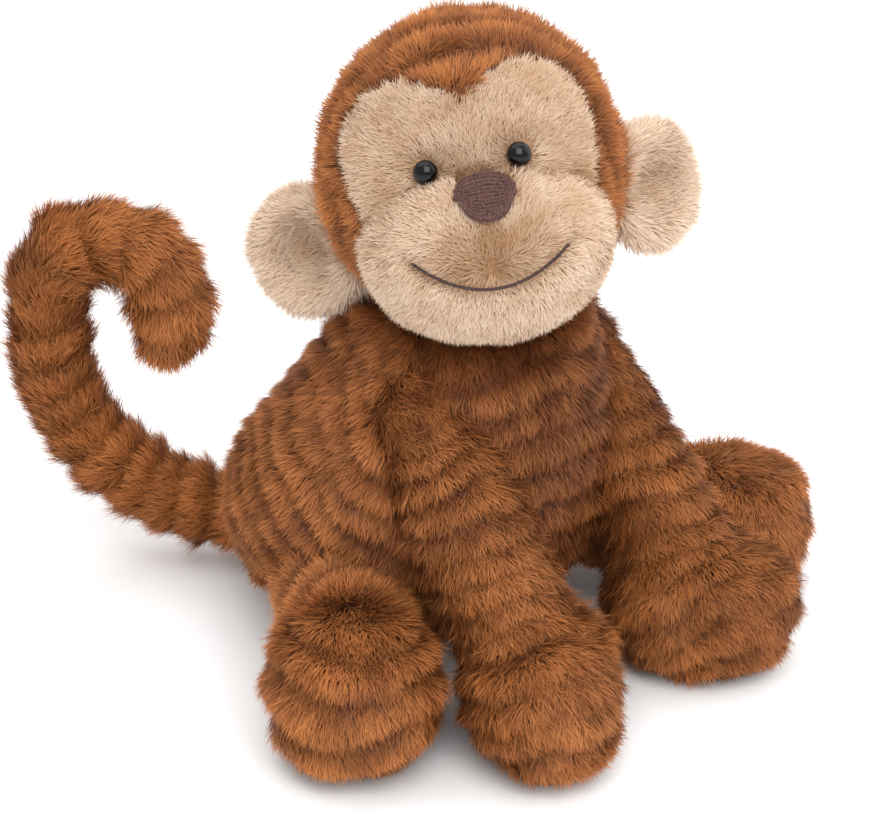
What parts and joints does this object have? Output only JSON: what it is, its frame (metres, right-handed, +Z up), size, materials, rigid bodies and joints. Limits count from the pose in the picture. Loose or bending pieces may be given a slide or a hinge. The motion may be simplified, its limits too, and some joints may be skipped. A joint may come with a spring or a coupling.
{
  "type": "stuffed monkey",
  "caption": "Sitting plush monkey with wavy brown fur, a beige face, a stitched nose and smile, round ears, splayed legs and a curled tail.",
  "frame": {"origin": "middle of the sitting monkey's outline, on the surface it sits on", "axes": "+Z up, -Y where the chest faces, +X the monkey's own left side"},
  "size_m": [0.229, 0.2496, 0.2112],
  "materials": {
    "caramel_plush": "long shaggy pile in wavy rows",
    "beige_plush": "short soft pile",
    "polyester_filling": "matte fibre",
    "cotton_pouch": "plain weave",
    "black_bead": "polished",
    "white_washer": "moulded",
    "nose_thread": "satin stitch",
    "smile_thread": "twisted thread"
  },
  "bodies": {
    "body": {"body_front_panel": "caramel_plush", "body_back_panel": "caramel_plush", "body_filling": "polyester_filling", "bead_pouch": "cotton_pouch"},
    "neck": {"neck_plug": "polyester_filling"},
    "head": {"head_hood": "caramel_plush", "face_panel": "beige_plush", "muzzle_panel": "beige_plush", "head_filling": "polyester_filling", "nose_stitching": "nose_thread", "smile_stitching": "smile_thread", "eye_bead_right": "black_bead", "eye_bead_left": "black_bead", "eye_washer_right": "white_washer", "eye_washer_left": "white_washer"},
    "ear_right": {"ear_front_right": "beige_plush", "ear_back_right": "beige_plush"},
    "arm_right": {"arm_right_cover": "caramel_plush", "arm_right_filling": "polyester_filling"},
    "leg_right": {"leg_right_cover": "caramel_plush", "leg_right_filling": "polyester_filling"},
    "ear_left": {"ear_front_left": "beige_plush", "ear_back_left": "beige_plush"},
    "arm_left": {"arm_left_cover": "caramel_plush", "arm_left_filling": "polyester_filling"},
    "leg_left": {"leg_left_cover": "caramel_plush", "leg_left_filling": "polyester_filling"},
    "tail_root": {"tail_cover_1": "caramel_plush", "tail_filling_1": "polyester_filling", "tail_cover_2": "caramel_plush", "tail_filling_2": "polyester_filling"},
    "tail_end": {"tail_cover_3": "caramel_plush", "tail_filling_3": "polyester_filling", "tail_cover_4": "caramel_plush", "tail_filling_4": "polyester_filling", "tail_cover_5": "caramel_plush", "tail_filling_5": "polyester_filling"}
  },
  "joints": [
    {"name": "head_turn", "type": "hinge", "parent": "body", "child": "neck", "pos_m": [-0.00225, -0.02427, 0.128], "axis": [0, 0, 1], "range_deg": [-12, 42]},
    {"name": "head_nod", "type": "hinge", "parent": "neck", "child": "head", "pos_m": [-0.00225, -0.02427, 0.128], "axis": [0.7373, -0.6756, 0], "range_deg": [-8, 8]},
    {"name": "ear_fold_right", "type": "hinge", "parent": "head", "child": "ear_right", "pos_m": [-0.02509, 0.00735, 0.15308], "axis": [-0.021, 0.2431, 0.9698], "range_deg": [-15, 15], "stiffness_Nm_per_rad": 0.006},
    {"name": "arm_lift_right", "type": "hinge", "parent": "body", "child": "arm_right", "pos_m": [-0.04025, -0.03627, 0.096], "axis": [-1, 0, 0], "range_deg": [0, 35]},
    {"name": "leg_splay_right", "type": "hinge", "parent": "body", "child": "leg_right", "pos_m": [-0.04625, -0.01227, 0.031], "axis": [0, 0, -1], "range_deg": [0, 20]},
    {"name": "ear_fold_left", "type": "hinge", "parent": "head", "child": "ear_left", "pos_m": [0.0316, -0.04459, 0.16733], "axis": [-0.021, 0.2431, 0.9698], "range_deg": [-15, 15], "stiffness_Nm_per_rad": 0.006},
    {"name": "arm_lift_left", "type": "hinge", "parent": "body", "child": "arm_left", "pos_m": [0.03575, -0.03627, 0.096], "axis": [-1, 0, 0], "range_deg": [0, 35]},
    {"name": "leg_splay_left", "type": "hinge", "parent": "body", "child": "leg_left", "pos_m": [0.04175, -0.01227, 0.031], "axis": [0, 0, 1], "range_deg": [0, 20]},
    {"name": "tail_sway", "type": "hinge", "parent": "body", "child": "tail_root", "pos_m": [-0.00325, 0.04573, 0.02], "axis": [0, 0, 1], "range_deg": [-15, 15]},
    {"name": "tail_curl", "type": "hinge", "parent": "tail_root", "child": "tail_end", "pos_m": [-0.06716, 0.11191, 0.086], "axis": [0.7193, 0.6947, 0], "range_deg": [-12, 12]}
  ]
}
